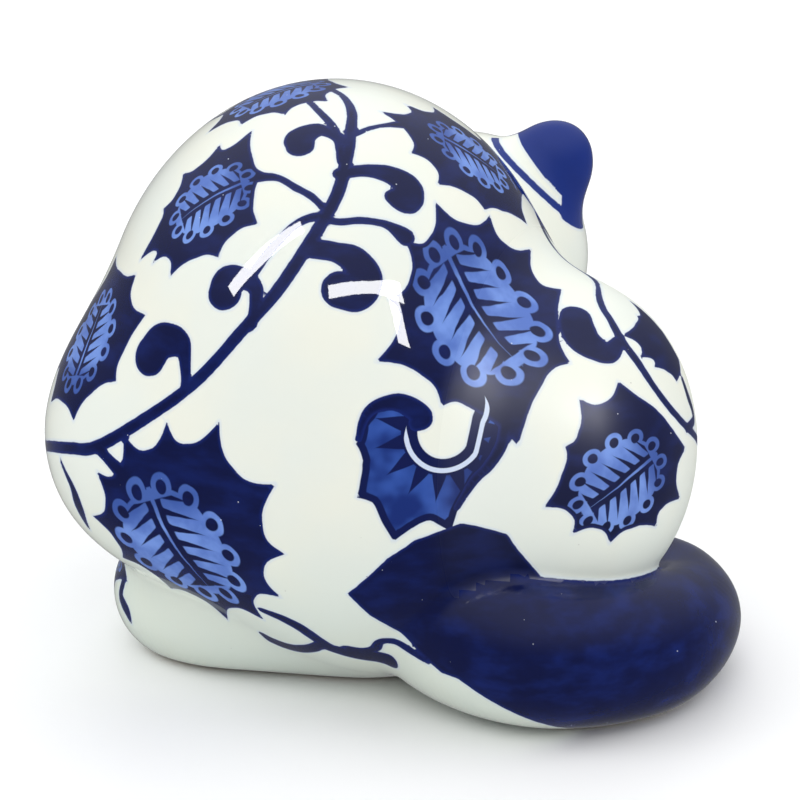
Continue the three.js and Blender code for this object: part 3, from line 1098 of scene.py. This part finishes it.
def casting_piece(name, own, surface, material):
    """One closed piece: its part of the outside, the inside behind it, and rims between the two."""
    quads = surface["quads"][own]
    fine = surface["fine"].reshape(-1, 4, 4)[own].reshape(-1, 4)
    starts = quads.ravel()
    ends = np.roll(quads, -1, axis=1).ravel()
    middles = surface["middle_at"][own].ravel()
    count = len(surface["inside"])
    forth = starts * count + ends
    open_edges = ~np.isin(forth, ends * count + starts)
    a, b, middle = starts[open_edges], ends[open_edges], middles[open_edges]
    inner_at = len(surface["outside"])
    rims = np.column_stack((b, middle, a, a + inner_at, b + inner_at))
    groups = [fine, quads[:, ::-1] + inner_at, rims]

    used = np.unique(np.concatenate([group.ravel() for group in groups]))
    number = np.empty(inner_at + count, int)
    number[used] = np.arange(len(used))
    everywhere = np.vstack((surface["outside"], surface["inside"]))[used]
    mesh = faces_mesh(name, to_row(everywhere), [number[group] for group in groups])
    mesh.polygons.foreach_set("use_smooth", np.ones(len(mesh.polygons), bool))
    for attribute, values in surface["paint"].items():
        kind = "FLOAT_VECTOR" if values.ndim == 2 else "FLOAT"
        field = "vector" if values.ndim == 2 else "value"
        mesh.attributes.new(attribute, kind, "POINT").data.foreach_set(field, values[used].ravel())
    mesh.normals_split_custom_set_from_vertices(surface["normals"][used])
    mesh.materials.append(material)
    return place_in_scene(name, mesh)


def make_surface():
    """The cat's outside and inside as vertices and quads, with its normals and its paint."""
    vertices, quads = surface_net(sample_grid())
    vertices = relax(settle(vertices, 4), quads, 2)
    labels = castings_of(vertices, quads)
    inside = inner_wall(vertices, quads, labels)
    outside, fine, middle_at = subdivide(vertices, quads)
    outward = unit(gradient(cat_field, outside))
    paint = painting(outside)
    paint["bare"] = (outside[:, 2] < FOOT_RING).astype(float)
    paint["height"] = outside[:, 2]
    paint["haunch"] = ellipsoid(outside, RIGHT_HAUNCH)
    paint["ear"] = np.minimum(ear_field(outside, 1), ear_field(outside, -1))
    hidden = {"ink": NO_PAINT, "wash": NO_PAINT, "pattern": 0, "curl": NO_PAINT, "bare": 1, "height": 0,
              "haunch": 0, "ear": NO_PAINT}
    for name, values in paint.items():
        inner = np.full((len(inside), *values.shape[1:]), float(hidden[name]))
        paint[name] = np.concatenate((values, inner))
    surface = {"quads": quads, "fine": fine, "middle_at": middle_at, "outside": outside,
               "inside": inside, "normals": np.vstack((outward, -outward[:len(inside)])), "paint": paint}
    return surface, labels


surface, labels = make_surface()
body = surface["outside"][np.unique(surface["quads"][labels == 0])]
_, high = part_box("body_shell")
CAT_CORNER = np.array((body[:, 0].max(), body[:, 1].max(), 0))
ROW_CORNER = np.array((high.x, high.y, 0))

finishes = {
    "white_glaze": glaze("white_glaze", 0.6, CLEAR),
    "cobalt_glaze": glaze("cobalt_glaze", 0.9, BLUE_HAZE),
}
# The glaze is rougher on the right haunch, to blur a second reflection of the windows there.
haunch = finishes["white_glaze"].number("haunch")
finishes["white_glaze"].set(Coat_Roughness=haunch.ramp(*HAUNCH_FADE, CLEAR, HAUNCH_HAZE))
shiny = bpy.data.collections.new("shows the windows")
for number, (node, finish, _, _, _) in enumerate(CASTINGS):
    piece = casting_piece(node + "_glazed", labels == number, surface, finishes[finish].material)
    if finish == "white_glaze":
        shiny.objects.link(piece)
    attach(piece, "root")
    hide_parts(node)

# ---------------- floor, light and camera

# What the lights and the camera face.
MIDDLE = to_row(np.array((0.0, 0.0, 42.0)))

# Azimuths, elevations and FILL_REACH are in degrees, and lengths in metres.
CAMERA_ANGLES = (190, 18)
CAMERA_DISTANCE = 0.43
LENS = 121
SENSOR = 36
FILL_AZIMUTHS = (10, 100, 190, 280)
FILL_REACH = 25
FILL_ELEVATION = 38
FILL_DISTANCE = 1.3
FILL_HEIGHT = 0.8
FILL_RADIANCE = 1.45
WINDOW_DISTANCE = 1.2
WINDOW_RADIANCE = 34
FLOOR_SIZE = 6


def toward(azimuth, elevation):
    """The unit direction at an azimuth from the front (-Y), turning through +X, and an elevation."""
    azimuth, elevation = math.radians(azimuth), math.radians(elevation)
    flat = math.cos(elevation)
    return np.array((math.sin(azimuth) * flat, -math.cos(azimuth) * flat, math.sin(elevation)))


def face_middle(thing, place, across):
    """Puts a light or the camera at `place`, facing the cat, with its own X as near as can be to `across`."""
    back = unit(place - MIDDLE)
    side = unit(across - back * (across @ back))
    over = np.cross(back, side)
    matrix = np.eye(4)
    matrix[:3] = np.column_stack((side, over, back, place))
    thing.matrix_world = Matrix(matrix.tolist())


def panel(name, start, end, distance, thickness, radiance):
    """A light panel seen from the cat as a band from one (azimuth, elevation) to another."""
    first, last = distance * toward(*start), distance * toward(*end)
    light = bpy.data.lights.new(name, "AREA")
    light.shape = "RECTANGLE"
    light.size = float(np.linalg.norm(last - first))
    light.size_y = thickness
    light.energy = radiance * math.pi * light.size * light.size_y
    lamp = place_in_scene(name, light)
    face_middle(lamp, MIDDLE + (first + last) / 2, last - first)
    return lamp


def fill(azimuth):
    """A soft panel that lights the cat from one side without showing in the glaze."""
    start, end = ((azimuth + turn, FILL_ELEVATION) for turn in (-FILL_REACH, FILL_REACH))
    lamp = panel("fill", start, end, FILL_DISTANCE, FILL_HEIGHT, FILL_RADIANCE)
    lamp.visible_glossy = False


def window(name, start, end, thickness, pieces):
    """A bright strip that only shows as a reflection, and only in the glaze of the `pieces`."""
    lamp = panel(name, start, end, WINDOW_DISTANCE, thickness, WINDOW_RADIANCE)
    lamp.visible_diffuse = False
    lamp.light_linking.receiver_collection = pieces


def make_floor(size):
    half = size / 2
    corners = np.array(((-half, -half, 0), (half, -half, 0), (half, half, 0), (-half, half, 0)))
    floor = place_in_scene("floor", faces_mesh("floor", corners, [np.array([[0, 1, 2, 3]])]))
    material = bpy.data.materials.new("floor_paper")
    material.use_nodes = True
    principled = material.node_tree.nodes["Principled BSDF"]
    principled.inputs["Base Color"].default_value = (0.93, 0.93, 0.93, 1)
    principled.inputs["Roughness"].default_value = 0.9
    principled.inputs["Specular IOR Level"].default_value = 0.0
    floor.data.materials.append(material)
    floor.visible_glossy = False


def make_camera():
    camera = bpy.data.cameras.new("camera")
    camera.lens = LENS
    camera.sensor_width = SENSOR
    camera.clip_start = 0.01
    holder = place_in_scene("camera", camera)
    back = toward(*CAMERA_ANGLES)
    face_middle(holder, MIDDLE + CAMERA_DISTANCE * back, np.cross(UP, back))
    bpy.context.scene.camera = holder


def make_world(level, overhead):
    """A white studio, `level` bright at eye level and `overhead` bright straight up."""
    world = bpy.data.worlds.new("studio")
    world.use_nodes = True
    tree = world.node_tree
    background = tree.nodes["Background"]
    background.inputs["Color"].default_value = (0.97, 0.98, 1, 1)
    parts = tree.nodes.new("ShaderNodeSeparateXYZ")
    tree.links.new(tree.nodes.new("ShaderNodeTexCoord").outputs["Generated"], parts.inputs[0])
    strength = Wire(tree, parts.outputs["Z"]).ramp(0, 1, level, overhead)
    tree.links.new(strength.socket, background.inputs["Strength"])
    bpy.context.scene.world = world


make_floor(FLOOR_SIZE)
make_world(0.25, 1.05)
for azimuth in FILL_AZIMUTHS:
    fill(azimuth)
window("window_left", (166, 64), (132, 29), 0.12, shiny)
window("window_top", (194, 38), (238, 33), 0.11, shiny)
window("window_side", (232, 33), (229, 22), 0.1, shiny)
make_camera()
bpy.context.scene.view_settings.view_transform = "Standard"
